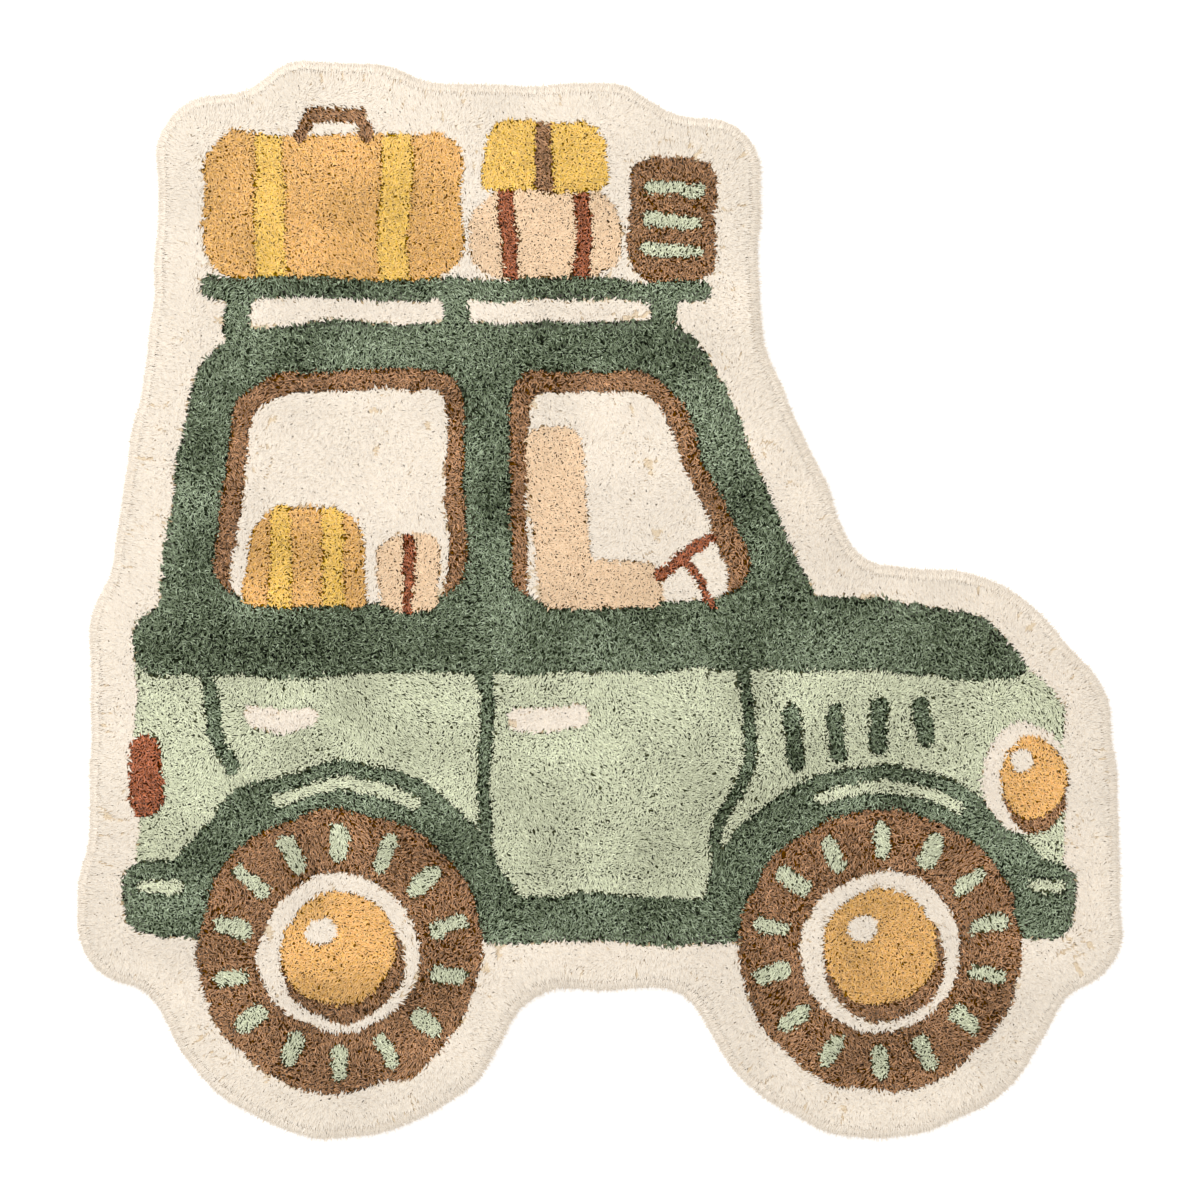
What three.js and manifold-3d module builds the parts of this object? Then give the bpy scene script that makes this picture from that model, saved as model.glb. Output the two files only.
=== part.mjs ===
// A tufted cotton play mat lying flat, cut to the shape of a touring car seen from the side, with luggage on its roof.
// Millimetres, +Z up. The mat lies on z = 0, with the middle of its plan at the origin and the car's wheels towards -Y.

import * as THREE from 'three';
import { mergeVertices } from 'three/addons/utils/BufferGeometryUtils.js';
import Module from 'manifold-3d';

const wasm = await Module();
wasm.setup();

// Driving dimensions
const thickness = 18; // foundation and pile together, at the crown of the pile
const pileDip = 3; // how far the uneven pile falls below its crown
const rimRound = 14; // how far in from the edge the pile has rolled over to its full height
const rimDrop = 13; // height of that roll
const border = 46; // plain border round the car
const tyreRadius = 142;
const rearWheelX = -262;
const frontWheelX = 280;
const tyreShare = 64; // degrees turned by each of the two corners that make a tyre's arc

// Fineness of the faces
const edgeStep = 15;
const pileStep = 30;
const rollSteps = 4;

// Two corners whose arcs run round the lower side of a tyre, at the border's width from it
function tyreCorners(wheelX) {
  const radius = tyreRadius + border;
  const reach = radius / Math.cos(THREE.MathUtils.degToRad(tyreShare / 2));
  return [-0.5, 0.5].map((side) => {
    const angle = THREE.MathUtils.degToRad(-90 + side * tyreShare);
    return { x: wheelX + reach * Math.cos(angle), h: tyreRadius + reach * Math.sin(angle), r: radius };
  });
}

// The outline's corners, anticlockwise: x from the car's middle, h above the ground line, r the radius of the corner
const corners = [
  ...tyreCorners(rearWheelX),
  { x: -71, h: 104, r: 60 }, // under the sill
  { x: 89, h: 104, r: 60 },
  ...tyreCorners(frontWheelX),
  { x: 466, h: 96, r: 60 }, // front bumper
  { x: 526, h: 126, r: 70 },
  { x: 524, h: 206, r: 90 },
  { x: 514, h: 400, r: 70 }, // nose and bonnet
  { x: 410, h: 518, r: 100 },
  { x: 260, h: 534, r: 46 },
  { x: 160, h: 764, r: 90 }, // windscreen, then up past the luggage
  { x: 163, h: 980, r: 62 },
  { x: 68, h: 984, r: 50 },
  { x: 20, h: 1016, r: 56 },
  { x: -160, h: 1012, r: 120 },
  { x: -220, h: 1036, r: 70 }, // over the suitcase's handle
  { x: -316, h: 1036, r: 70 },
  { x: -362, h: 1004, r: 60 },
  { x: -444, h: 1004, r: 62 },
  { x: -449, h: 790, r: 120 }, // down the cabin's back
  { x: -494, h: 520, r: 70 },
  { x: -514, h: 470, r: 60 },
  { x: -512, h: 280, r: 120 },
  { x: -526, h: 210, r: 90 }, // rear bumper
  { x: -526, h: 126, r: 70 },
  { x: -448, h: 96, r: 60 },
];

// The cut edge wanders a little: how many waves go round the mat, how far each pushes, and where it starts
const edgeWaves = [
  { count: 23, size: 1.3, start: 0.4 },
  { count: 41, size: 0.9, start: 2.1 },
  { count: 67, size: 0.5, start: 5.2 },
];

// Soft lumps of the pile: wavelength along a direction in degrees, share of the whole, and where it starts
const pileWaves = [
  { length: 210, direction: 20, share: 0.2, start: 1.1 },
  { length: 140, direction: 102, share: 0.22, start: 3.7 },
  { length: 96, direction: 61, share: 0.22, start: 0.3 },
  { length: 83, direction: 158, share: 0.2, start: 4.4 },
  { length: 68, direction: 8, share: 0.16, start: 2.6 },
];

// Creases left by folding the mat for its packing: the axis that each crosses, its place there, its depth and width,
// and the length over which it fades and comes back
const creases = [
  { across: 'y', at: 208, depth: 1.5, width: 8, fade: 310 },
  { across: 'y', at: -276, depth: 1.8, width: 8, fade: 410 },
  { across: 'x', at: -303, depth: 1.1, width: 10, fade: 270 },
];

// The outline as one curve of straights and arcs
function outlineShape() {
  const shape = new THREE.Shape();
  corners.forEach((corner, i) => {
    const here = new THREE.Vector2(corner.x, corner.h);
    const before = corners[(i + corners.length - 1) % corners.length];
    const after = corners[(i + 1) % corners.length];
    const back = new THREE.Vector2(before.x, before.h).sub(here).normalize();
    const ahead = new THREE.Vector2(after.x, after.h).sub(here).normalize();
    const half = Math.acos(back.dot(ahead)) / 2;
    const entry = here.clone().addScaledVector(back, corner.r / Math.tan(half));
    const leave = here.clone().addScaledVector(ahead, corner.r / Math.tan(half));
    const middle = back.clone().add(ahead).normalize().multiplyScalar(corner.r / Math.sin(half)).add(here);
    const startAngle = entry.clone().sub(middle).angle();
    const endAngle = leave.clone().sub(middle).angle();
    if (i === 0) shape.moveTo(entry.x, entry.y);
    else shape.lineTo(entry.x, entry.y);
    shape.absarc(middle.x, middle.y, corner.r, startAngle, endAngle, back.cross(ahead) > 0);
  });
  shape.closePath();
  return shape;
}

// Even steps along the outline, pushed in and out by the edge's waves, and centred on the origin
function cutEdge() {
  const shape = outlineShape();
  const steps = Math.round(shape.getLength() / edgeStep);
  const points = shape.getSpacedPoints(steps).slice(0, steps);
  const pushed = points.map((point, i) => {
    const before = points[(i + steps - 1) % steps];
    const after = points[(i + 1) % steps];
    const outward = new THREE.Vector2(after.y - before.y, before.x - after.x).normalize();
    const turn = (2 * Math.PI * i) / steps;
    const push = edgeWaves.reduce((sum, wave) => sum + wave.size * Math.sin(wave.count * turn + wave.start), 0);
    return point.clone().addScaledVector(outward, push);
  });
  const box = new THREE.Box2().setFromPoints(pushed);
  const middle = box.getCenter(new THREE.Vector2());
  return pushed.map((point) => point.sub(middle));
}

// How high the pile stands at a place of the plan
function pileHeight(x, y) {
  const lumps = pileWaves.reduce((sum, wave) => {
    const angle = THREE.MathUtils.degToRad(wave.direction);
    const along = x * Math.cos(angle) + y * Math.sin(angle);
    return sum + wave.share * Math.sin((2 * Math.PI * along) / wave.length + wave.start);
  }, 0);
  const troughs = creases.reduce((sum, crease) => {
    const [acrossIt, alongIt] = crease.across === 'x' ? [x, y] : [y, x];
    const away = (acrossIt - crease.at) / crease.width;
    const strength = 0.6 + 0.4 * Math.cos((2 * Math.PI * alongIt) / crease.fade);
    return sum + crease.depth * strength * Math.exp(-away * away);
  }, 0);
  return thickness - (pileDip / 2) * (1 - lumps) - troughs;
}

// Places of the pile's grid lines along one axis: even, with three more at each crease
function gridLines(axis, low, high) {
  const even = Array.from({ length: Math.ceil((high - low) / pileStep) + 1 }, (_, i) => low + i * pileStep);
  const folds = creases.filter((crease) => crease.across === axis);
  const clear = even.filter((place) => folds.every((crease) => Math.abs(place - crease.at) > 1.6 * crease.width));
  const extra = folds.flatMap((crease) => [-1.4, 0, 1.4].map((k) => crease.at + k * crease.width));
  return [...clear, ...extra].sort((a, b) => a - b);
}

// A slab that is larger than the mat, with the pile's uneven top and a flat bottom well below the floor
function pileSlab(edge) {
  const box = new THREE.Box2().setFromPoints(edge).expandByScalar(pileStep / 2);
  const xs = gridLines('x', box.min.x, box.max.x);
  const ys = gridLines('y', box.min.y, box.max.y);
  const slab = new THREE.BoxGeometry(1, 1, 1, xs.length - 1, ys.length - 1, 1);
  const place = slab.attributes.position;
  for (let i = 0; i < place.count; i += 1) {
    const x = xs[Math.round((place.getX(i) + 0.5) * (xs.length - 1))];
    const y = ys[Math.round((place.getY(i) + 0.5) * (ys.length - 1))];
    place.setXYZ(i, x, y, place.getZ(i) > 0 ? pileHeight(x, y) : -2 * thickness);
  }
  return slab;
}

// The mat's plan with its edge rolled over above, and tucked in below, where the floor will cut it
function rolledPlan(edge) {
  const waist = thickness + 1 - rimDrop;
  const plan = new THREE.ExtrudeGeometry(new THREE.Shape(edge), {
    depth: 1,
    steps: 1,
    bevelThickness: rimDrop,
    bevelSize: rimRound,
    bevelOffset: -rimRound,
    bevelSegments: rollSteps,
  });
  plan.translate(0, 0, waist - 1);
  return plan;
}

// All that lies above the floor
function aboveFloor(edge) {
  const size = new THREE.Box2().setFromPoints(edge).getSize(new THREE.Vector2());
  const room = new THREE.BoxGeometry(size.x + border, size.y + border, 2 * thickness);
  room.translate(0, 0, thickness);
  return room;
}

function toSolid(geometry) {
  const bare = geometry.clone();
  bare.deleteAttribute('normal');
  bare.deleteAttribute('uv');
  const merged = mergeVertices(bare, 1e-4);
  return new wasm.Manifold(
    new wasm.Mesh({
      numProp: 3,
      vertProperties: new Float32Array(merged.attributes.position.array),
      triVerts: new Uint32Array(merged.index.array),
    }),
  );
}

function toGeometry(solid) {
  const mesh = solid.getMesh();
  const geometry = new THREE.BufferGeometry();
  geometry.setAttribute('position', new THREE.BufferAttribute(new Float32Array(mesh.vertProperties), 3));
  geometry.setIndex(new THREE.BufferAttribute(new Uint32Array(mesh.triVerts), 1));
  geometry.computeVertexNormals();
  return geometry;
}

function makeMat() {
  const edge = cutEdge();
  const solid = toSolid(rolledPlan(edge)).intersect(toSolid(pileSlab(edge))).intersect(toSolid(aboveFloor(edge)));
  const cotton = new THREE.MeshStandardMaterial({ color: 0xefe4d3, roughness: 0.95, metalness: 0 });
  const mat = new THREE.Mesh(toGeometry(solid), cotton);
  mat.name = 'mat';
  return mat;
}

const carPlayMat = new THREE.Group();
carPlayMat.add(makeMat());

export default carPlayMat;
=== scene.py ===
import math

import bmesh
import bpy
import numpy as np
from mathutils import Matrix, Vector
from mathutils.bvhtree import BVHTree
from mathutils.kdtree import KDTree


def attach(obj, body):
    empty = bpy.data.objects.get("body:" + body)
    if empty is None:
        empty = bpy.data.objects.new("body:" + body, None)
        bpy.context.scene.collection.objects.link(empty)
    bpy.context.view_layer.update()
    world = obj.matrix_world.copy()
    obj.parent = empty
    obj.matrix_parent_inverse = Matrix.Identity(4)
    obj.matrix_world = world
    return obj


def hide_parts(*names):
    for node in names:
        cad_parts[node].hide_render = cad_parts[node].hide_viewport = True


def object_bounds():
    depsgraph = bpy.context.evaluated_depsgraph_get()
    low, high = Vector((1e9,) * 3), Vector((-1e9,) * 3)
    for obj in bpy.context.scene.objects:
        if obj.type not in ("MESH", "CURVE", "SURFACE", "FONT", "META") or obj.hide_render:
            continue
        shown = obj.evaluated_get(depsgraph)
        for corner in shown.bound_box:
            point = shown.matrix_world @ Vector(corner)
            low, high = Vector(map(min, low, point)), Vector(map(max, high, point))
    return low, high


# A tufted cotton play mat in the shape of a touring car, lying flat. Metres, +Z up, the car's roof at +Y.
# The drawing of the car is in millimetres: x from its middle, y above the ground line under its tyres.

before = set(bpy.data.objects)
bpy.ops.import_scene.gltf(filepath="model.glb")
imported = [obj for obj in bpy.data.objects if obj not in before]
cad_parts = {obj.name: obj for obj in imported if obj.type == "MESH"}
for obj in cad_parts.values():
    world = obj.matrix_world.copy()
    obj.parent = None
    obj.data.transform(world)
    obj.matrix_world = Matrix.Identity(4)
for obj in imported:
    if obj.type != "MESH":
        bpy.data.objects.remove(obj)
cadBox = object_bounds()
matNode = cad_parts["mat"]

mm = 0.001

# Where each random pattern starts, so that every run makes the same mat; a pattern of directions takes two
seeds = {"tufts": 20, "wander": 11, "jag": 13, "clumps": 31, "creaseWander": 41, "creaseJag": 43,
         "creaseFade": 45, "swirl": 51, "curl": 53, "clumping": 55, "patches": 57, "shortness": 59,
         "partings": 61, "partedAreas": 63}
draw = np.random.default_rng(seeds["tufts"])


# Camera: square on from above, as the photograph, whose 1200 pixels take in 1.2 m
cameraPlan = {"frameWidth": 1.2, "lens": 85.0, "sensor": 36.0, "farthest": 50.0}


def addCamera():
    height = cameraPlan["frameWidth"] * cameraPlan["lens"] / cameraPlan["sensor"]
    bpy.ops.object.camera_add(location=(0, 0, height + cadBox[1].z), rotation=(0, 0, 0))
    camera = bpy.context.object
    camera.name = "fromAbove"
    camera.data.lens = cameraPlan["lens"]
    camera.data.sensor_width = cameraPlan["sensor"]
    camera.data.dof.use_dof = False
    camera.data.clip_end = cameraPlan["farthest"]
    bpy.context.scene.camera = camera


addCamera()
print("camera set")


# Light: a pale studio, nearly even, with a broad soft lamp from the upper left; the floor glows a little
studio = {
    "worldGrey": 1.0, "worldStrength": 1.06,
    "keyPlace": (-1.5, 1.7, 2.4), "keySize": 1.8, "keyPower": 46.0,
    "floorSize": 14.0, "floorGrey": 0.9, "floorRoughness": 0.9, "floorGlow": 0.3, "floorDrop": 0.0004,
}


def newMaterial(name, roughness):
    material = bpy.data.materials.new(name)
    material.use_nodes = True
    shader = material.node_tree.nodes["Principled BSDF"]
    shader.inputs["Roughness"].default_value = roughness
    return material, material.node_tree, shader


def addStudio():
    world = bpy.data.worlds.new("studioWorld")
    world.use_nodes = True
    background = world.node_tree.nodes["Background"]
    background.inputs["Color"].default_value = (*[studio["worldGrey"]] * 3, 1)
    background.inputs["Strength"].default_value = studio["worldStrength"]
    bpy.context.scene.world = world
    bpy.ops.object.light_add(type="AREA", location=studio["keyPlace"])
    key = bpy.context.object
    key.name = "keyLamp"
    key.data.shape = "DISK"
    key.data.size = studio["keySize"]
    key.data.energy = studio["keyPower"]
    key.rotation_euler = Vector(studio["keyPlace"]).to_track_quat("Z", "Y").to_euler()


def addFloor():
    bpy.ops.mesh.primitive_plane_add(size=studio["floorSize"], location=(0, 0, -studio["floorDrop"]))
    floor = bpy.context.object
    floor.name = "studioFloor"
    paper, _, shader = newMaterial("paleFloor", studio["floorRoughness"])
    shader.inputs["Base Color"].default_value = (*[studio["floorGrey"]] * 3, 1)
    shader.inputs["Emission Color"].default_value = (1, 1, 1, 1)
    shader.inputs["Emission Strength"].default_value = studio["floorGlow"]
    floor.data.materials.append(paper)


addStudio()
addFloor()
bpy.context.scene.view_settings.view_transform = "Standard"
print("studio set")


# The yarns. Colour, how light the foot of a tuft is, and how much fuller in colour it is there than its tip,
# both painted shade that deepens down between the tufts; fleck and patch, by what share the tufts differ in
# value, one from another and over slow patches; how pale the lighter tufts turn, a painted sheen, and how
# streaky the fibres are;
# how far the pile is swept, in millimetres, and how strongly its tips clump together;
# the share of tufts cut short, and how deep these lie in painted shade;
# a tuft's half width in millimetres, how many times that its end is long, and where its end begins, as a
# share of its length
yarns = {
    "cream": {
        "colour": (0.739, 0.668, 0.574), "foot": 0.9, "rich": 2.4,
        "fleck": 0.01, "patch": 0.06, "pale": 0.0, "streak": 0.5, "sweep": 4.0, "clump": 0.038,
        "short": 0.0, "shade": 0.6, "half": 1.35, "long": 2.847, "shoulder": 0.879,
    },
    "forest": {
        "colour": (0.143, 0.183, 0.102), "foot": 0.104, "rich": 1.9,
        "fleck": 0.34, "patch": 0.35, "pale": 0.2, "streak": 1.3, "sweep": 2.074, "clump": 0.0,
        "short": 0.109, "shade": 0.6, "half": 0.92, "long": 1.977, "shoulder": 0.805,
    },
    "sage": {
        "colour": (0.5, 0.516, 0.338), "foot": 0.18, "rich": 1.9,
        "fleck": 0.088, "patch": 0.16, "pale": 0.3, "streak": 1.42, "sweep": 4.989, "clump": 0.053,
        "short": 0.097, "shade": 0.835, "half": 0.999, "long": 2.5, "shoulder": 0.918,
    },
    "ochre": {
        "colour": (0.71, 0.428, 0.172), "foot": 0.392, "rich": 1.9,
        "fleck": 0.1, "patch": 0.2, "pale": 0.1, "streak": 0.6, "sweep": 1.997, "clump": 0.0,
        "short": 0.104, "shade": 0.64, "half": 1.162, "long": 2.2, "shoulder": 0.851,
    },
    "yellow": {
        "colour": (0.765, 0.505, 0.145), "foot": 0.4, "rich": 1.9,
        "fleck": 0.09, "patch": 0.16, "pale": 0.1, "streak": 0.5, "sweep": 2.0, "clump": 0.01,
        "short": 0.08, "shade": 0.6, "half": 1.16, "long": 2.3, "shoulder": 0.87,
    },
    "peach": {
        "colour": (0.735, 0.535, 0.35), "foot": 0.169, "rich": 1.9,
        "fleck": 0.06, "patch": 0.14, "pale": 0.077, "streak": 0.136, "sweep": 1.937, "clump": 0.042,
        "short": 0.03, "shade": 0.4, "half": 1.133, "long": 2.6, "shoulder": 0.911,
    },
    "brown": {
        "colour": (0.376, 0.222, 0.132), "foot": 0.35, "rich": 1.9,
        "fleck": 0.27, "patch": 0.24, "pale": 0.02, "streak": 1.4, "sweep": 3.2, "clump": 0.048,
        "short": 0.212, "shade": 0.736, "half": 0.9, "long": 2.285, "shoulder": 0.838,
    },
    "rust": {
        "colour": (0.384, 0.158, 0.098), "foot": 0.3, "rich": 1.9,
        "fleck": 0.28, "patch": 0.15, "pale": 0.0, "streak": 1.2, "sweep": 2.4, "clump": 0.03,
        "short": 0.14, "shade": 0.6, "half": 0.95, "long": 2.1, "shoulder": 0.85,
    },
}
yarnNames = list(yarns)
plainTone = 0.5  # the tone that leaves a yarn's colour as it is


def ofYarn(fact, found):
    return np.array([yarns[name][fact] for name in yarnNames])[found]


# The drawing's shapes, later ones over earlier ones; the ground line's place in the frame; how finely arcs,
# ovals and round ends are cut; and how far the borders between colours wander, slowly and from tuft to
# tuft, as a tufting hand does
drawing = {"groundLine": -494.0, "arcStep": 8.0, "ovalSteps": 48, "endSteps": 8,
           "wander": 3.2, "wanderSize": 0.045, "jag": 1.3, "jagSize": 0.011}
painted = []


def paint(yarn, shape):
    painted.append((yarnNames.index(yarn), np.array(shape)))


# A closed shape with straight sides and arcs at its corners, each given as x, y and radius
def cut(*corners):
    points = []
    for i, (x, y, radius) in enumerate(corners):
        here = Vector((x, y))
        back = (Vector(corners[i - 1][:2]) - here).normalized()
        ahead = (Vector(corners[(i + 1) % len(corners)][:2]) - here).normalized()
        half = back.angle(ahead) / 2
        middle = here + (back + ahead).normalized() * radius / math.sin(half)
        entry = here + back * radius / math.tan(half) - middle
        turn = (math.pi - 2 * half) * (-1 if back.cross(ahead) > 0 else 1)
        steps = max(2, round(abs(turn) * radius / drawing["arcStep"]))
        start = math.atan2(entry.y, entry.x)
        for angle in np.linspace(start, start + turn, steps + 1):
            points.append((middle.x + radius * math.cos(angle), middle.y + radius * math.sin(angle)))
    return points


def box(left, low, right, high, radius):
    return cut((left, low, radius), (right, low, radius), (right, high, radius), (left, high, radius))


def arc(x, y, radius, start, end, steps=24):
    angles = np.radians(np.linspace(start, end, steps + 1))
    return [(x + radius * math.cos(a), y + radius * math.sin(a)) for a in angles]


def disc(x, y, across, up=None):
    angles = np.linspace(0, 2 * math.pi, drawing["ovalSteps"], endpoint=False)
    return [(x + across * math.cos(a), y + (up or across) * math.sin(a)) for a in angles]


# A line of constant width with round ends
def stroke(points, width):
    line = [Vector(p) for p in points]
    sides = []
    for i in range(len(line)):
        along = (line[min(i + 1, len(line) - 1)] - line[max(i - 1, 0)]).normalized()
        sides.append(Vector((-along.y, along.x)) * width / 2)
    left = [here + side for here, side in zip(line, sides)]
    right = [here - side for here, side in zip(line, sides)]
    outline = left + roundEnd(line[-1], sides[-1]) + right[::-1] + roundEnd(line[0], -sides[0])
    return [tuple(p) for p in outline]


def roundEnd(middle, side):
    start = math.atan2(side.y, side.x)
    angles = start - np.linspace(0, math.pi, drawing["endSteps"] + 1)[1:-1]
    return [middle + side.length * Vector((math.cos(a), math.sin(a))) for a in angles]


def paintBody():
    paint("sage", cut((-458, 162, 34), (-466, 472, 46), (210, 494, 8), (388, 474, 80), (468, 388, 56),
                      (462, 162, 40)))
    paint("forest", cut((-464, 416, 20), (-466, 488, 30), (210, 498, 8), (384, 480, 78), (448, 418, 14),
                        (392, 416, 50), (210, 426, 40)))
    paint("forest", box(-140, 150, 150, 196, 16))  # sill


# The roof and its pillars, and two windows in their frames
def paintCabin():
    paint("forest", cut((-450, 452, 16), (-404, 770, 92), (96, 776, 92), (228, 462, 20)))
    paint("brown", cut((-392, 498, 34), (-362, 722, 58), (-138, 724, 26), (-136, 498, 22)))
    paint("cream", cut((-374, 492, 26), (-344, 702, 46), (-156, 704, 16), (-154, 492, 14)))
    paint("brown", cut((-90, 498, 22), (-88, 724, 26), (66, 726, 60), (166, 498, 30)))
    paint("cream", cut((-72, 492, 14), (-70, 704, 16), (54, 706, 46), (138, 492, 22)))


# What shows through the windows: a striped bag, a box with a strap, a seat from its side, a steering wheel
def paintSeats():
    paint("ochre", cut((-358, 486, 12), (-350, 584, 40), (-238, 588, 40), (-230, 486, 12)))
    paint("yellow", cut((-332, 486, 3), (-328, 588, 6), (-308, 588, 6), (-310, 486, 3)))
    paint("yellow", cut((-280, 486, 3), (-280, 588, 6), (-260, 588, 6), (-256, 486, 3)))
    paint("peach", cut((-220, 486, 8), (-220, 556, 16), (-164, 558, 14), (-160, 486, 8)))
    paint("rust", stroke([(-192, 488), (-192, 552)], 11))
    paint("peach", cut((-58, 486, 10), (-76, 668, 24), (-20, 676, 26), (0, 486, 10)))
    paint("peach", cut((-24, 486, 10), (-24, 534, 10), (60, 534, 22), (60, 486, 10)))
    paint("rust", stroke([(112, 488), (84, 536)], 9))
    paint("rust", stroke([(58, 518), (108, 553)], 13))


# The seams and handles of the doors, and the louvres on the bonnet's side
def paintDoors():
    paint("forest", stroke([(-114, 420), (-116, 300), (-110, 190)], 13))
    paint("forest", stroke([(148, 420), (150, 330), (118, 258), (110, 190)], 13))
    paint("forest", stroke([(-392, 420), (-390, 362), (-366, 322)], 13))
    paint("cream", stroke([(-82, 376), (-22, 378)], 22))
    paint("cream", stroke([(-348, 376), (-292, 378)], 22))
    for k in range(4):
        paint("forest", stroke([(192 + 43 * k, 382 + 2 * k), (196 + 43 * k, 330 + 8 * k)], 17))


# The wheels: where they stand, the tyre's radius, how wide the arch is and how far out its gleam lies, the
# dashes of the tread, and the radii of the ring, of the hub cap and of the shade under it
wheels = {"rear": -262, "front": 280, "tyre": 142, "arch": 44, "gleam": 23, "dashes": 14,
          "dashEnds": (100, 122), "dashWidth": 17, "ring": 80, "capShade": 62, "cap": 58}


def paintWheel(x):
    tyre = wheels["tyre"]
    paint("forest", arc(x, tyre, tyre + wheels["arch"], 4, 176, 40))
    paint("sage", stroke(arc(x, tyre, tyre + wheels["gleam"], 62, 112), 13))
    paint("brown", disc(x, tyre, tyre))
    for k in range(wheels["dashes"]):
        angle = 2 * math.pi * (k + 0.5) / wheels["dashes"]
        ends = [(x + r * math.cos(angle), tyre + r * math.sin(angle)) for r in wheels["dashEnds"]]
        paint("sage", stroke(ends, wheels["dashWidth"]))
    paint("cream", disc(x, tyre, wheels["ring"]))
    paint("brown", disc(x + 4, tyre - 9, wheels["capShade"]))
    paint("ochre", disc(x, tyre + 4, wheels["cap"]))
    paint("cream", disc(x - 18, tyre + 22, 17, 13))


def paintEnds():
    for left, right in ((-478, -400), (412, 478)):  # bumpers
        paint("forest", box(left, 158, right, 232, 24))
    paint("sage", stroke([(-458, 206), (-424, 206)], 12))
    paint("sage", stroke([(434, 206), (460, 206)], 12))
    paint("cream", disc(428, 316, 45, 54))  # headlamp
    paint("brown", disc(437, 304, 33, 44))
    paint("ochre", disc(435, 316, 33, 42))
    paint("cream", disc(424, 332, 12))
    paint("rust", cut((-468, 276, 12), (-468, 360, 14), (-438, 360, 14), (-438, 276, 12)))  # tail lamp


def paintLuggage():
    for x in (-364, -146, 62):  # rack
        paint("forest", box(x - 14, 758, x + 14, 818, 8))
    paint("forest", box(-404, 794, 112, 816, 10))
    paint("ochre", box(-398, 816, -138, 960, 34))  # suitcase
    paint("yellow", box(-346, 816, -317, 960, 4))
    paint("yellow", box(-219, 816, -190, 960, 4))
    paint("brown", stroke([(-300, 960), (-292, 982), (-244, 982), (-236, 960)], 16))
    paint("peach", box(-134, 816, 24, 902, 41))  # bed roll
    paint("rust", box(-100, 815, -84, 903, 4))
    paint("rust", box(-26, 815, -10, 903, 4))
    paint("yellow", cut((-122, 902, 14), (-112, 972, 28), (2, 972, 28), (12, 902, 14)))  # bag on top of it
    paint("brown", box(-63, 902, -47, 972, 3))
    paint("brown", box(30, 816, 116, 936, 20))  # crate
    for k in range(3):
        paint("sage", stroke([(50, 846 + 29 * k), (96, 846 + 29 * k)], 13))


paintBody()
paintCabin()
paintSeats()
paintDoors()
paintWheel(wheels["rear"])
paintWheel(wheels["front"])
paintEnds()
paintLuggage()
print("drawing laid out,", len(painted), "shapes")


# Smooth noise from -1 to 1, with lumps about size metres across
def softNoise(place, size, seed):
    side = 512
    lattice = np.random.default_rng(seed).uniform(-1, 1, (side, side))
    u, v = place[:, 0] / size + side / 2, place[:, 1] / size + side / 2
    column, row = np.floor(u).astype(int), np.floor(v).astype(int)
    fu, fv = u - column, v - row
    fu, fv = fu * fu * (3 - 2 * fu), fv * fv * (3 - 2 * fv)

    def at(i, j):
        return lattice[(column + i) % side, (row + j) % side]

    near = at(0, 0) * (1 - fu) + at(1, 0) * fu
    far = at(0, 1) * (1 - fu) + at(1, 1) * fu
    return near * (1 - fv) + far * fv


def softVectors(place, size, seed):
    return np.stack([softNoise(place, size, seed), softNoise(place, size, seed + 1)], 1)


def insideShape(place, shape):
    odd = np.zeros(len(place), bool)
    for (x0, y0), (x1, y1) in zip(shape, np.roll(shape, -1, axis=0)):
        if y0 != y1:
            crosses = (y0 > place[:, 1]) != (y1 > place[:, 1])
            odd ^= crosses & (place[:, 0] < x0 + (x1 - x0) * (place[:, 1] - y0) / (y1 - y0))
    return odd


# Which yarn each place of the plan has, as its number among the yarns
def yarnAt(place):
    slow = drawing["wander"] * softVectors(place, drawing["wanderSize"], seeds["wander"])
    quick = drawing["jag"] * softVectors(place, drawing["jagSize"], seeds["jag"])
    spot = place / mm + slow + quick - (0, drawing["groundLine"])
    found = np.zeros(len(place), int)
    for yarn, shape in painted:
        near = np.flatnonzero(((spot > shape.min(0)) & (spot < shape.max(0))).all(1))
        found[near[insideShape(spot[near], shape)]] = yarn
    return found


def spread(values):
    return values[:, None]


def unit(vectors):
    return vectors / spread(np.linalg.norm(vectors, axis=1))


def deselectAll():
    bpy.ops.object.select_all(action="DESELECT")


def pointsOf(mesh):
    points = np.empty(3 * len(mesh.vertices), np.float32)
    mesh.vertices.foreach_get("co", points)
    return points.reshape(-1, 3).astype(float)


# One value for each point of a mesh; field is what Blender calls the values of its kind
def addAttribute(mesh, name, values, kind="FLOAT", field="value"):
    mesh.attributes.new(name, kind, "POINT").data.foreach_set(field, values.astype(np.float32).ravel())


# A shader node group from its inputs and outputs, each a name, a kind and a value
def makeGroup(name, inputs, outputs):
    group = bpy.data.node_groups.new(name, "ShaderNodeTree")
    for label, kind, value in inputs:
        socket = group.interface.new_socket(label, in_out="INPUT", socket_type=kind)
        socket.default_value = value
    for label, kind in outputs:
        group.interface.new_socket(label, in_out="OUTPUT", socket_type=kind)
    return group, group.nodes.new("NodeGroupInput"), group.nodes.new("NodeGroupOutput")


def addNode(tree, kind, links=(), **settings):
    node = tree.nodes.new(kind)
    for key, value in settings.items():
        setattr(node, key, value)
    for socket, value in dict(links).items():
        if isinstance(value, bpy.types.NodeSocket):
            tree.links.new(value, node.inputs[socket])
        else:
            node.inputs[socket].default_value = value
    return node


def addMath(tree, operation, *values):
    return addNode(tree, "ShaderNodeMath", dict(enumerate(values)), operation=operation).outputs[0]
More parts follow.
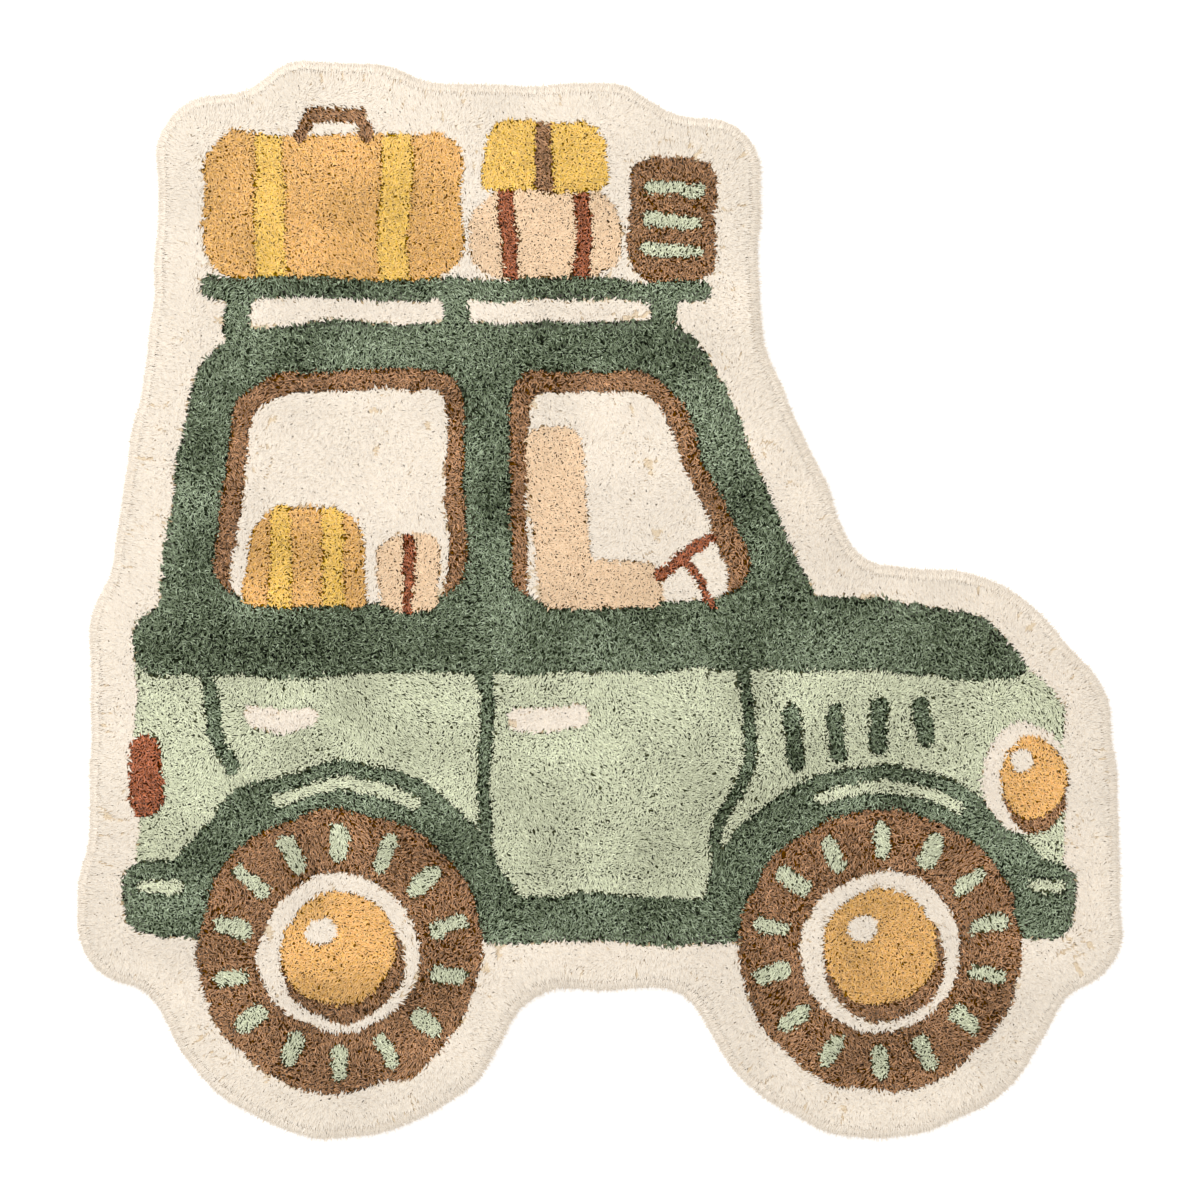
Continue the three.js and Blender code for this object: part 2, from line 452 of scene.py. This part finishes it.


# How cut pile looks: from where to where up a tuft its painted shade lifts, how full its tip's colour is,
# the colour that the painted sheen of lighter tufts turns to, and the relief of its fibres
pileLook = {"shadeFrom": 0.5, "shadeTo": 0.97, "tipRich": 0.98, "sheenTint": (0.84, 0.88, 0.8, 1),
            "fibreRelief": 0.4, "fibreHeight": 0.5 * mm, "roughness": 0.95}


# Cut pile: darker and fuller in colour towards the foot of each tuft, as painted shade; lighter or darker
# from tuft to tuft, the lighter tufts paler with painted sheen; with fibres in its surface
def makePileGroup():
    number, tint = "NodeSocketFloat", "NodeSocketColor"
    inputs = [("Yarn", tint, (0.5, 0.5, 0.5, 1)), ("Foot", number, 0.3), ("SheenShare", number, 0.1),
              ("Streak", number, 0.2), ("Rich", number, 1.9)]
    group, given, made = makeGroup("cutPile", inputs, [("Color", tint), ("Normal", "NodeSocketVector")])
    rise = addNode(group, "ShaderNodeAttribute", attribute_name="rise").outputs["Fac"]
    tone = addNode(group, "ShaderNodeAttribute", attribute_name="tone").outputs["Fac"]
    strand = addNode(group, "ShaderNodeAttribute", attribute_name="strand").outputs["Vector"]
    noise = addNode(group, "ShaderNodeTexNoise", {"Vector": strand, "Scale": 1.0, "Detail": 1.0})
    fibres = noise.outputs["Fac"]
    # Painted shade: the colour darkens and grows fuller down each tuft, for the shade that falls between the
    # tufts
    upTuft = {"Value": rise, "From Min": pileLook["shadeFrom"], "From Max": pileLook["shadeTo"]}
    shade = addNode(group, "ShaderNodeMapRange",
                    {**upTuft, "To Min": given.outputs["Foot"], "To Max": 1 / plainTone},
                    interpolation_type="SMOOTHSTEP")
    streak = addMath(group, "ADD", fibres, -0.5)
    streaked = addMath(group, "MULTIPLY_ADD", streak, given.outputs["Streak"], 1.0)
    lit = addMath(group, "MULTIPLY", shade.outputs["Result"], tone)
    value = addMath(group, "MULTIPLY", lit, streaked)
    # Painted sheen: the lighter a tuft is, the more it is mixed towards a pale grey-white
    share = addMath(group, "MULTIPLY", tone, given.outputs["SheenShare"])
    # A Mix node takes its two colours at sockets 6 and 7, and gives the mixed one at output 2
    sheenTint = addNode(group, "ShaderNodeMix",
                       {0: share, 6: given.outputs["Yarn"], 7: pileLook["sheenTint"]}, data_type="RGBA")
    full = addNode(group, "ShaderNodeMapRange",
                   {**upTuft, "To Min": given.outputs["Rich"], "To Max": pileLook["tipRich"]})
    deep = addNode(group, "ShaderNodeHueSaturation",
                   {"Saturation": full.outputs["Result"], "Color": sheenTint.outputs[2]})
    colour = addNode(group, "ShaderNodeVectorMath", {0: deep.outputs["Color"], "Scale": value},
                     operation="SCALE")
    bump = addNode(group, "ShaderNodeBump", {"Height": fibres, "Strength": pileLook["fibreRelief"],
                                             "Distance": pileLook["fibreHeight"]})
    group.links.new(colour.outputs["Vector"], made.inputs["Color"])
    group.links.new(bump.outputs["Normal"], made.inputs["Normal"])
    return group


pileGroup = makePileGroup()


def makeYarn(name):
    yarn, tree, shader = newMaterial(name + "Yarn", pileLook["roughness"])
    facts = yarns[name]
    look = addNode(tree, "ShaderNodeGroup",
                   {"Yarn": (*facts["colour"], 1), "Foot": facts["foot"] / plainTone,
                    "SheenShare": facts["pale"], "Streak": facts["streak"], "Rich": facts["rich"]},
                   node_tree=pileGroup)
    tree.links.new(look.outputs["Color"], shader.inputs["Base Color"])
    tree.links.new(look.outputs["Normal"], shader.inputs["Normal"])
    shader.inputs["Specular IOR Level"].default_value = 0.0
    return yarn


yarnMaterials = {name: makeYarn(name) for name in yarnNames}
print("yarns mixed")


# The bed is the foundation with the feet of the pile on it: the mat's solid, drawn in under its skin, and
# by a smaller share of that at the floor. Its underside is a woven backing
bedPlan = {"drawnIn": 6.0 * mm, "floorShare": 0.5, "cuts": 1, "shade": 0.9,
           "backing": (0.74, 0.69, 0.6), "roughness": 0.9, "threadSize": 1.6 * mm, "threadWaver": 0.6,
           "threadGap": 0.78, "threadRelief": 0.5, "threadHeight": 0.5 * mm}


def copySolid(name):
    deselectAll()
    solid = bpy.data.objects.new(name, matNode.data.copy())
    bpy.context.collection.objects.link(solid)
    bpy.context.view_layer.objects.active = solid
    solid.select_set(True)
    bpy.ops.object.mode_set(mode="EDIT")
    bpy.ops.mesh.select_all(action="SELECT")
    bpy.ops.mesh.remove_doubles(threshold=1e-6)
    bpy.ops.object.mode_set(mode="OBJECT")
    solid.data.materials.clear()
    return solid


def facesDown(face):
    return face.normal.z < -0.99


# The edge of the underside in order, as points of the plan
def undersideLine(solid):
    shape = bmesh.new()
    shape.from_mesh(solid.data)
    after = {}
    for edge in shape.edges:
        down = [face for face in edge.link_faces if facesDown(face)]
        if len(down) == 1:
            loop = next(loop for loop in down[0].loops if loop.edge == edge)
            after[loop.link_loop_next.vert] = loop.vert
    here = next(iter(after))
    line = []
    for _ in after:
        line.append(tuple(here.co.to_2d()))
        here = after[here]
    shape.free()
    return np.array(line)


# The steps in which places round the edge are counted, and how far to each side its direction is taken
edgePlan = {"step": 3 * mm, "bearing": 9 * mm}


# Even steps along a closed line, and the direction that points out of it at each
def evenSteps(line, step):
    closed = np.vstack([line, line[:1]])
    run = np.concatenate([[0], np.cumsum(np.linalg.norm(np.diff(closed, axis=0), axis=1))])
    at = np.linspace(0, run[-1], int(run[-1] / step), endpoint=False)
    points = np.stack([np.interp(at, run, closed[:, k]) for k in (0, 1)], 1)
    reach = max(1, round(edgePlan["bearing"] / step))
    along = np.roll(points, -reach, axis=0) - np.roll(points, reach, axis=0)
    outward = unit(np.stack([along[:, 1], -along[:, 0]], 1))
    turned = (closed[:-1, 0] * closed[1:, 1] - closed[1:, 0] * closed[:-1, 1]).sum()
    return points, outward * np.sign(turned)


def makeBacking():
    cloth, tree, shader = newMaterial("backingCloth", bedPlan["roughness"])
    place = addNode(tree, "ShaderNodeTexCoord").outputs["Object"]
    threads = {"Vector": place, "Scale": 0.5 / bedPlan["threadSize"], "Distortion": bedPlan["threadWaver"],
               "Detail": 1.0}
    across = [addNode(tree, "ShaderNodeTexWave", threads, bands_direction=way) for way in ("X", "Y")]
    weave = addMath(tree, "MULTIPLY", *[bands.outputs["Fac"] for bands in across])
    tone = addNode(tree, "ShaderNodeMapRange",
                   {"Value": weave, "To Min": bedPlan["threadGap"], "To Max": 1.0})
    colour = addNode(tree, "ShaderNodeVectorMath",
                     {0: bedPlan["backing"], "Scale": tone.outputs["Result"]}, operation="SCALE")
    bump = addNode(tree, "ShaderNodeBump", {"Height": weave, "Strength": bedPlan["threadRelief"],
                                            "Distance": bedPlan["threadHeight"]})
    tree.links.new(colour.outputs["Vector"], shader.inputs["Base Color"])
    tree.links.new(bump.outputs["Normal"], shader.inputs["Normal"])
    return cloth


# The feet of the pile, in the colour that each place of the bed has, which is painted shade: the yarn's
# colour darkened as the feet of its tufts are
def makeFeet():
    feet, tree, shader = newMaterial("pileFeet", pileLook["roughness"])
    colour = addNode(tree, "ShaderNodeAttribute", attribute_name="feetColour")
    tree.links.new(colour.outputs["Color"], shader.inputs["Base Color"])
    return feet


# The roll of the edge: the middle of its round section and its radius, and the rows of tufts round it, in
# degrees. Each tuft starts under the skin behind its place and has its point ahead of it, dipped a little.
# Its facts add how unevenly the inner ends reach, and the rise that points and inner ends have, so high that
# the roll takes almost none of the pile's painted shade. Its tone is above plain: painted light that lifts
# the roll's side, which lies in shade. The tufts of the top start a share of their pitch inside the topmost
# row
rim = {"inset": 12.9 * mm, "height": 5.5 * mm, "across": 14 * mm, "rows": range(80, -20, -9), "wobble": 4.0,
       "slide": 0.3, "behind": 4.5 * mm, "under": 4.5 * mm, "ahead": 4.5 * mm, "aheadShares": (0.7, 1.2),
       "dip": 0.4 * mm, "sway": 0.25, "tone": 0.53, "topFrom": 0.3,
       "facts": {**yarns["cream"], "half": 1.25, "long": 0.5, "shoulder": 1.0, "uneven": (-0.07, 0.06),
                 "rises": (1.0, 0.99)}}

bed = copySolid("pileBed")
skin = BVHTree.FromPolygons([point.co for point in matNode.data.vertices],
                            [face.vertices for face in matNode.data.polygons])
edgeLine = undersideLine(bed)
edgePoints, edgeOutward = evenSteps(edgeLine, edgePlan["step"])
print("edge found, in", len(edgePoints), "steps")


# How far inside the underside's edge each place lies, the way out, and how far round the edge that is
def edgeFrom(places):
    tree = KDTree(len(edgePoints))
    for i, point in enumerate(edgePoints):
        tree.insert((*point, 0), i)
    tree.balance()
    nearest = np.array([tree.find((x, y, 0))[1] for x, y in places])
    outward = edgeOutward[nearest]
    return ((edgePoints[nearest] - places) * outward).sum(1), outward, nearest * edgePlan["step"]


# Everything above the middle of the edge's roll sinks under the skin, and the roll shrinks to that middle
def drawIn(points):
    inset, outward, _ = edgeFrom(points[:, :2])
    low = bedPlan["floorShare"]
    share = low + (1 - low) * np.clip(points[:, 2] / rim["height"], 0, 1)
    share = bedPlan["drawnIn"] / rim["across"] * share
    points[:, :2] -= outward * spread(np.clip(rim["inset"] - inset, 0, None) * share)
    above = np.clip(points[:, 2] - rim["height"], 0, None)
    points[:, 2] -= above * bedPlan["drawnIn"] / (cadBox[1][2] - rim["height"])


# The long thin faces of the underside would fold over when its edge is drawn in, so it gets new ones first
def refillUnderside(bed):
    bpy.ops.mesh.select_all(action="DESELECT")
    bed.active_material_index = 1
    bpy.ops.object.material_slot_select()
    bpy.ops.mesh.delete(type="FACE")
    bpy.ops.mesh.select_non_manifold(extend=False)
    bpy.ops.mesh.fill()
    bpy.ops.object.material_slot_assign()


def makeBed(bed):
    bed.data.materials.append(makeFeet())
    bed.data.materials.append(makeBacking())
    floorSide = np.array([facesDown(face) for face in bed.data.polygons])
    bed.data.polygons.foreach_set("material_index", floorSide.astype(np.int32))
    bpy.ops.object.mode_set(mode="EDIT")
    bpy.ops.mesh.select_all(action="SELECT")
    bpy.ops.mesh.subdivide(number_cuts=bedPlan["cuts"])
    refillUnderside(bed)
    bpy.ops.object.mode_set(mode="OBJECT")
    points = pointsOf(bed.data)
    drawIn(points)
    bed.data.vertices.foreach_set("co", points.astype(np.float32).ravel())
    found = yarnAt(points[:, :2])
    colour = np.ones((len(points), 4))
    # Painted shade: the bed shows between the tufts, so it takes the yarn's colour darkened as their feet,
    # and a little more
    colour[:, :3] = ofYarn("colour", found) * spread(ofYarn("foot", found)) * bedPlan["shade"]
    addAttribute(bed.data, "feetColour", colour, "FLOAT_COLOR", "color")
    bed.data.update()


makeBed(bed)
print("bed drawn in,", len(bed.data.polygons), "faces")


# The pile. Lengths and sizes are in metres, turns in radians, and the rest are shares
pile = {
    # How far apart the tufts stand, how far each is off its place, how deep its foot lies under the skin,
    # and how much lower than the skin its tip may be, at random and when it is cut short
    "pitch": 2.05 * mm, "jitter": 0.3, "depth": 8.2 * mm, "trim": 0.9 * mm,
    "shortBy": 2.6 * mm, "shortest": (0.6, 1.0), "shortVary": 0.9, "shortSize": 0.025,
    # Which way the tufts lie: slow swirls, quicker curls, each one's own stray, and outwards near the edge
    "swirl": 0.75, "swirlSize": 0.062, "curl": 0.5, "curlSize": 0.024, "stray": 1.2 * mm,
    "rimLean": 6.0 * mm, "rimFrom": 10 * mm, "rimTo": 50 * mm, "rimEase": 1.5, "rimCalm": 0.6,
    # How the tips draw together, here more and there less
    "clumpSize": 7.5 * mm, "clumpScatter": (0.1, 0.9), "clumpVary": 0.4, "clumpVarySize": 0.06,
    # The light and dark patches
    "patchSize": 0.05,
    # Where two yarns meet, more tufts are cut short and the ends of all are smaller
    "besideReach": 2.8 * mm, "shortBeside": 0.3, "smallBeside": 0.6,
    # Short openings of the cream pile, most of them across the border; their tips sink, and are painted in
    # shade
    "partApart": 6.0 * mm, "partLong": 17 * mm, "partWidth": 0.09, "partFrom": 0.2, "partAreas": 0.022,
    "parted": 0.4,
    # How one tuft differs from the next, how far the front of its end is drawn out, and how far a corner
    # of a three-sided end reaches for each half of its width
    "twist": 0.16, "sizes": (0.86, 1.14), "cornerSizes": (0.85, 1.15), "drawnOut": 0.2, "corner": 1.15,
    # The width of a fibre, and how many fibres apart the patterns of two tufts may lie
    "fibre": 0.8 * mm, "fibresApart": 40,
    # How far apart the corners of a tuft lie in the piece's own UV map
    "cornersApart": 0.004,
    "mostTriangles": 195000,
}

# How far off the floor the pile keeps: its inner ends, its points, and all its corners
offFloor = {"starts": 1.5 * mm, "ends": 1.0 * mm, "corners": 0.3 * mm}

# Loose fibre that stands out of the roll as a faint haze, less of it the farther out. Its tone is above
# plain, painted light like the roll's, and it takes none of the pile's painted shade
haze = {"apart": 0.8 * mm, "reach": 6.0 * mm, "thinning": 1.2, "root": 2.0 * mm, "lift": (-8, 38),
        "stray": 0.3, "tone": 0.54,
        "facts": {**yarns["cream"], "half": 0.4, "long": 0.5, "shoulder": 1.0, "uneven": (-0.07, 0.06),
                  "rises": (1.0, 1.0)}}

# Creases left by folding the mat for its packing, as the solid has them, and how the pile parts along them
creases = [
    {"across": 1, "at": 0.208, "fade": 0.31, "part": 0.8 * mm},
    {"across": 1, "at": -0.276, "fade": 0.41, "part": 0.8 * mm},
    {"across": 0, "at": -0.303, "fade": 0.27, "part": 0.7 * mm},
]

# How a crease wanders, in millimetres, slowly and quickly; how it fades as the solid's does, and comes and
# goes besides; and how far from it the tips still stand back
creaseLook = {"wander": 3, "wanderSize": 0.035, "jag": 1.5, "jagSize": 0.008, "faded": 0.4,
              "plain": 0.45, "vary": 1.6, "most": 1.3, "varySize": 0.02, "reach": 2.5 * mm}


# One tuft of a yarn, from its foot at 0 to its tip at 1: a slim pyramid on its point, whose end slopes up
# to the front
def makeTuft(facts):
    deselectAll()
    bpy.ops.mesh.primitive_cone_add(vertices=3, radius1=1, depth=1, location=(0, 0, 0.5),
                                    rotation=(0, math.pi, 0))
    tuft = bpy.context.object
    bpy.ops.object.transform_apply(location=True, rotation=True, scale=False)
    bpy.ops.object.mode_set(mode="EDIT")
    bpy.ops.mesh.select_all(action="DESELECT")
    shape = bmesh.from_edit_mesh(tuft.data)
    for corner in shape.verts:
        corner.select_set(corner.co.z > 0.5 and corner.co.y < 0)
    bmesh.update_edit_mesh(tuft.data)
    bpy.ops.transform.translate(value=(0, -pile["drawnOut"], facts["shoulder"] - 1))
    bpy.ops.mesh.select_all(action="SELECT")
    width = facts["half"] * pile["corner"] * mm
    bpy.ops.transform.resize(value=(width, width * facts["long"], 1), center_override=(0, 0, 0))
    bpy.ops.object.mode_set(mode="OBJECT")
    corners = pointsOf(tuft.data)
    faces = np.array([list(face.vertices) for face in tuft.data.polygons])
    bpy.data.objects.remove(tuft)
    return corners, faces


# Staggered rows of places over the mat, each a little off its place
def rowsOfPlaces():
    pitch = pile["pitch"]
    step = np.array([pitch, pitch * math.sqrt(3) / 2])
    low, high = np.array(cadBox[0][:2]), np.array(cadBox[1][:2])
    count = np.ceil((high - low) / step).astype(int)
    row, column = np.mgrid[0:count[1], 0:count[0]].reshape(2, -1)
    places = low + np.stack([column + 0.5 * (row % 2), row], 1) * step
    return places + draw.uniform(-1, 1, places.shape) * pile["jitter"] * pitch


# Which way the tips of the pile draw together: towards the nearest of loosely scattered middles
def clumpShift(places):
    size = pile["clumpSize"]
    side = 400
    scatter = np.random.default_rng(seeds["clumps"]).uniform(*pile["clumpScatter"], (side, side, 2))
    cell = np.floor(places / size).astype(int)
    best, shift = np.full(len(places), np.inf), np.zeros_like(places)
    for i in (-1, 0, 1):
        for j in (-1, 0, 1):
            near = cell + (i, j)
            middle = (near + scatter[near[:, 0] % side, near[:, 1] % side]) * size
            away = np.linalg.norm(middle - places, axis=1)
            closer = away < best
            best[closer] = away[closer]
            shift[closer] = (middle - places)[closer]
    return shift


# Tips stand back from each crease on both sides; it wanders, and fades out here and there
def creaseShift(places):
    look = creaseLook
    shift = np.zeros_like(places)
    wander = look["wander"] * softNoise(places, look["wanderSize"], seeds["creaseWander"])
    wander += look["jag"] * softNoise(places, look["jagSize"], seeds["creaseJag"])
    fading = look["plain"] + look["vary"] * softNoise(places, look["varySize"], seeds["creaseFade"])
    for crease in creases:
        across = crease["across"]
        off = places[:, across] - crease["at"] - wander * mm
        wave = np.cos(2 * math.pi * places[:, 1 - across] / crease["fade"])
        strength = (1 - look["faded"] + look["faded"] * wave) * np.clip(fading, 0, look["most"])
        shift[:, across] += crease["part"] * strength * np.sign(off) * np.exp(-np.abs(off) / look["reach"])
    return shift


# Whether a tuft lies sunk in one of the short openings
def partings(places, run, inset):
    squeezed = np.column_stack([run, inset * pile["partApart"] / pile["partLong"]])
    line = np.abs(softNoise(squeezed, pile["partApart"], seeds["partings"])) < pile["partWidth"]
    return line & (softNoise(places, pile["partAreas"], seeds["partedAreas"]) > pile["partFrom"])


# Where rays meet the mat's skin, and its normals there
def castOnSkin(starts, ways):
    found = [skin.ray_cast(start, way)[:2] for start, way in zip(starts, ways)]
    return np.array([tuple(place) for place, _ in found]), np.array([tuple(normal) for _, normal in found])


# Whether another yarn starts within reach of each place
def besideOther(places, found):
    reach = pile["besideReach"]
    steps = ((reach, 0), (-reach, 0), (0, reach), (0, -reach))
    return np.any([yarnAt(places + step) != found for step in steps], axis=0)


# The tufts on the mat's top: feet, tips, the way each end slopes, tones, how short each is cut, how long its
# end is for its yarn, and yarns
def topTufts():
    places = rowsOfPlaces()
    inset, outward, run = edgeFrom(places)
    topRow = rim["inset"] - rim["across"] * math.cos(math.radians(rim["rows"][0]))
    inner = inset > topRow + pile["pitch"] * rim["topFrom"]
    places, inset, outward, run = places[inner], inset[inner], outward[inner], run[inner]
    swirl = pile["swirl"] * softVectors(places, pile["swirlSize"], seeds["swirl"])
    swirl += pile["curl"] * softVectors(places, pile["curlSize"], seeds["curl"])
    edging = np.clip((pile["rimTo"] - inset) / (pile["rimTo"] - pile["rimFrom"]), 0, 1)
    edging = spread(edging ** pile["rimEase"])
    found = yarnAt(places)
    lean = swirl * spread(ofYarn("sweep", found)) * mm * (1 - pile["rimCalm"] * edging)
    lean += outward * pile["rimLean"] * edging
    lean += draw.normal(0, pile["stray"], places.shape)
    vary = pile["clumpVary"]
    together = 1 - vary + vary * softNoise(places, pile["clumpVarySize"], seeds["clumping"])
    together = spread(ofYarn("clump", found) * together)
    tipPlaces = places + clumpShift(places) * together + creaseShift(places)
    above = np.column_stack([tipPlaces, np.ones(len(tipPlaces))])
    tips, normals = castOnSkin(above, np.tile((0.0, 0.0, -1.0), (len(above), 1)))
    front = np.column_stack([lean, np.zeros(len(lean))])
    front = unit(front - normals * spread((front * normals).sum(1)))
    feet = tips - normals * pile["depth"] - front * spread(np.linalg.norm(lean, axis=1))
    found = yarnAt(feet[:, :2])
    share = 1 + pile["shortVary"] * softNoise(places, pile["shortSize"], seeds["shortness"])
    share = ofYarn("short", found) * share
    beside = besideOther(feet[:, :2], found)
    share = np.where(beside, np.maximum(share, pile["shortBeside"]), share)
    short = draw.uniform(size=len(places)) < share
    parted = (found == yarnNames.index("cream")) * pile["parted"] * partings(places, run, inset)
    sunk = np.maximum(short * draw.uniform(*pile["shortest"], len(places)), parted)
    tips -= normals * spread(pile["trim"] * draw.uniform(size=len(places)) ** 2 + pile["shortBy"] * sunk)
    fleck = ofYarn("fleck", found) * draw.normal(size=len(places))
    patch = ofYarn("patch", found) * softNoise(places, pile["patchSize"], seeds["patches"])
    tone = np.clip(plainTone * (1 + fleck + patch), 0, 1)
    return feet, tips, front, tone, sunk, np.where(beside, pile["smallBeside"], 1), found


def alongEdge(outward):
    return np.stack([-outward[:, 1], outward[:, 0]], 1)


# Rays from the middle of the edge's roll out to its skin: their starts and ways
def raysOut(places, outward, lift):
    starts = np.column_stack([places, np.full(len(places), rim["height"])])
    return starts, np.column_stack([outward * spread(np.cos(lift)), np.sin(lift)])


# The tufts round the roll of the edge, all of them cream: they lie along it, their points outwards and down
def rimTufts():
    points, outward = evenSteps(edgeLine, pile["pitch"])
    count = len(points)
    way = alongEdge(outward)
    parts = []
    for i, angle in enumerate(rim["rows"]):
        slide = (draw.uniform(-rim["slide"], rim["slide"], count) + 0.5 * (i % 2)) * pile["pitch"]
        lift = np.radians(angle + draw.normal(0, rim["wobble"], count))
        middle, spoke = raysOut(points - outward * rim["inset"] + way * spread(slide), outward, lift)
        places = castOnSkin(middle, spoke)[0] - spoke * spread(pile["trim"] * draw.uniform(size=count) ** 2)
        along = np.column_stack([outward * spread(np.sin(lift)), -np.cos(lift)])
        along[:, :2] += way * spread(draw.normal(0, rim["sway"], count))
        ahead = along * rim["ahead"] * spread(draw.uniform(*rim["aheadShares"], count))
        ends = places + ahead - spoke * rim["dip"]
        starts = places - along * rim["behind"] - spoke * rim["under"]
        ends[:, 2] = np.maximum(ends[:, 2], offFloor["ends"])
        starts[:, 2] = np.maximum(starts[:, 2], offFloor["starts"])
        tone = np.clip(rim["tone"] * (1 + yarns["cream"]["fleck"] * draw.normal(size=count)), 0, 1)
        parts.append((ends, starts, spoke, tone, np.zeros(count), np.ones(count)))
    return [np.concatenate(values) for values in zip(*parts)]


# The same for the loose fibre of the edge
def hazeFibres():
    points, outward = evenSteps(edgeLine, haze["apart"])
    count = len(points)
    lift = np.radians(draw.uniform(*haze["lift"], count))
    middle, spoke = raysOut(points - outward * rim["inset"], outward, lift)
    roots = castOnSkin(middle, spoke)[0] - spoke * haze["root"]
    spoke[:, :2] += alongEdge(outward) * spread(draw.normal(0, haze["stray"], count))
    spoke[:, 2] += draw.normal(0, haze["stray"], count)
    reach = haze["root"] + haze["reach"] * draw.uniform(size=count) ** haze["thinning"]
    ends = roots + spoke * spread(reach)
    ends[:, 2] = np.clip(ends[:, 2], offFloor["ends"], cadBox[1][2])
    front = unit(spoke * spread(spoke[:, 2]) - (0, 0, 1))
    return ends, roots, front, np.full(count, haze["tone"]), np.zeros(count), np.ones(count)


# One mesh of many tufts, from the corners of each and the faces of one, and the corners that its faces use
def joinTufts(name, points, faces):
    count, each = points.shape[:2]
    around = (faces[None] + (np.arange(count) * each)[:, None, None]).reshape(-1)
    mesh = bpy.data.meshes.new(name)
    mesh.vertices.add(count * each)
    mesh.vertices.foreach_set("co", points.astype(np.float32).ravel())
    mesh.loops.add(len(around))
    mesh.loops.foreach_set("vertex_index", around.astype(np.int32))
    mesh.polygons.add(len(around) // 3)
    mesh.polygons.foreach_set("loop_start", np.arange(0, len(around), 3, dtype=np.int32))
    mesh.update(calc_edges=True)
    mesh.shade_flat()
    return mesh, around


# A piece of many tufts of one yarn: each stands on its foot, stretched to its tip, its end sloping the given
# way. The edge's tufts have their points for feet
def growPile(name, facts, feet, tips, front, tone, sunk, reach):
    corners, faces = makeTuft(facts)
    count, each = len(feet), len(corners)
    along = tips - feet
    side = unit(np.cross(front, along))
    turn = draw.normal(0, pile["twist"], (count, 1))
    size = draw.uniform(*pile["sizes"], (count, 1)) * draw.uniform(*pile["cornerSizes"], (count, each))
    x, y, z = corners.T
    across = (x * np.cos(turn) + y * np.sin(turn)) * size
    ahead = (y * np.cos(turn) - x * np.sin(turn)) * size * spread(reach)
    uneven = (z == 1) * draw.uniform(*facts.get("uneven", (0, 0)), (count, each))
    points = feet[:, None] + along[:, None] * (z + uneven)[..., None]
    points += side[:, None] * across[..., None] + front[:, None] * ahead[..., None]
    points[..., 2] = np.maximum(points[..., 2], offFloor["corners"])
    mesh, around = joinTufts(name, points, faces)
    # A tuft's rise sets its painted shade, low at the foot and high at the tip; a tuft cut short or sunk in
    # an opening is painted darker by as much as its yarn's shade says
    low, high = facts.get("rises", (0, 1))
    rise = np.clip(low + (high - low) * z - facts["shade"] * spread(sunk), 0, 1).ravel()
    tones = np.repeat(tone, each)
    addAttribute(mesh, "rise", rise)
    addAttribute(mesh, "tone", tones)
    apart = np.repeat(pile["fibresApart"] * draw.uniform(size=(count, 1)), each, axis=1)
    strand = np.stack([across / pile["fibre"], ahead / (2 * pile["fibre"]), apart], 2)
    addAttribute(mesh, "strand", strand, "FLOAT_VECTOR", "vector")
    beside = np.clip(tones + np.tile(np.arange(each) * pile["cornersApart"], count), 0, 1)
    ownMap = mesh.uv_layers.new(name="OFBake")
    ownMap.data.foreach_set("uv", np.stack([beside, rise], 1)[around].astype(np.float32).ravel())
    piece = bpy.data.objects.new(name, mesh)
    bpy.context.collection.objects.link(piece)
    return piece


def growAll():
    *tufts, found = topTufts()
    made = []
    for number, name in enumerate(yarnNames):
        mine = np.flatnonzero(found == number)
        mine = mine[np.argsort(tufts[0][mine, 0])]
        parts = math.ceil(len(mine) * 4 / pile["mostTriangles"])
        for i, some in enumerate(np.array_split(mine, parts)):
            made.append(growPile(f"{name}Pile{i + 1}", yarns[name], *[values[some] for values in tufts]))
            made[-1].data.materials.append(yarnMaterials[name])
    edging = {"edgePile": (rim["facts"], rimTufts()), "looseFibre": (haze["facts"], hazeFibres())}
    for name, (facts, tufts) in edging.items():
        made.append(growPile(name, facts, *tufts))
        made[-1].data.materials.append(yarnMaterials["cream"])
    for piece in made:
        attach(piece, "root")
        print(piece.name, "grown,", len(piece.data.polygons), "triangles")
    return made


piles = growAll()
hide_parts("mat")
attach(bed, "root")
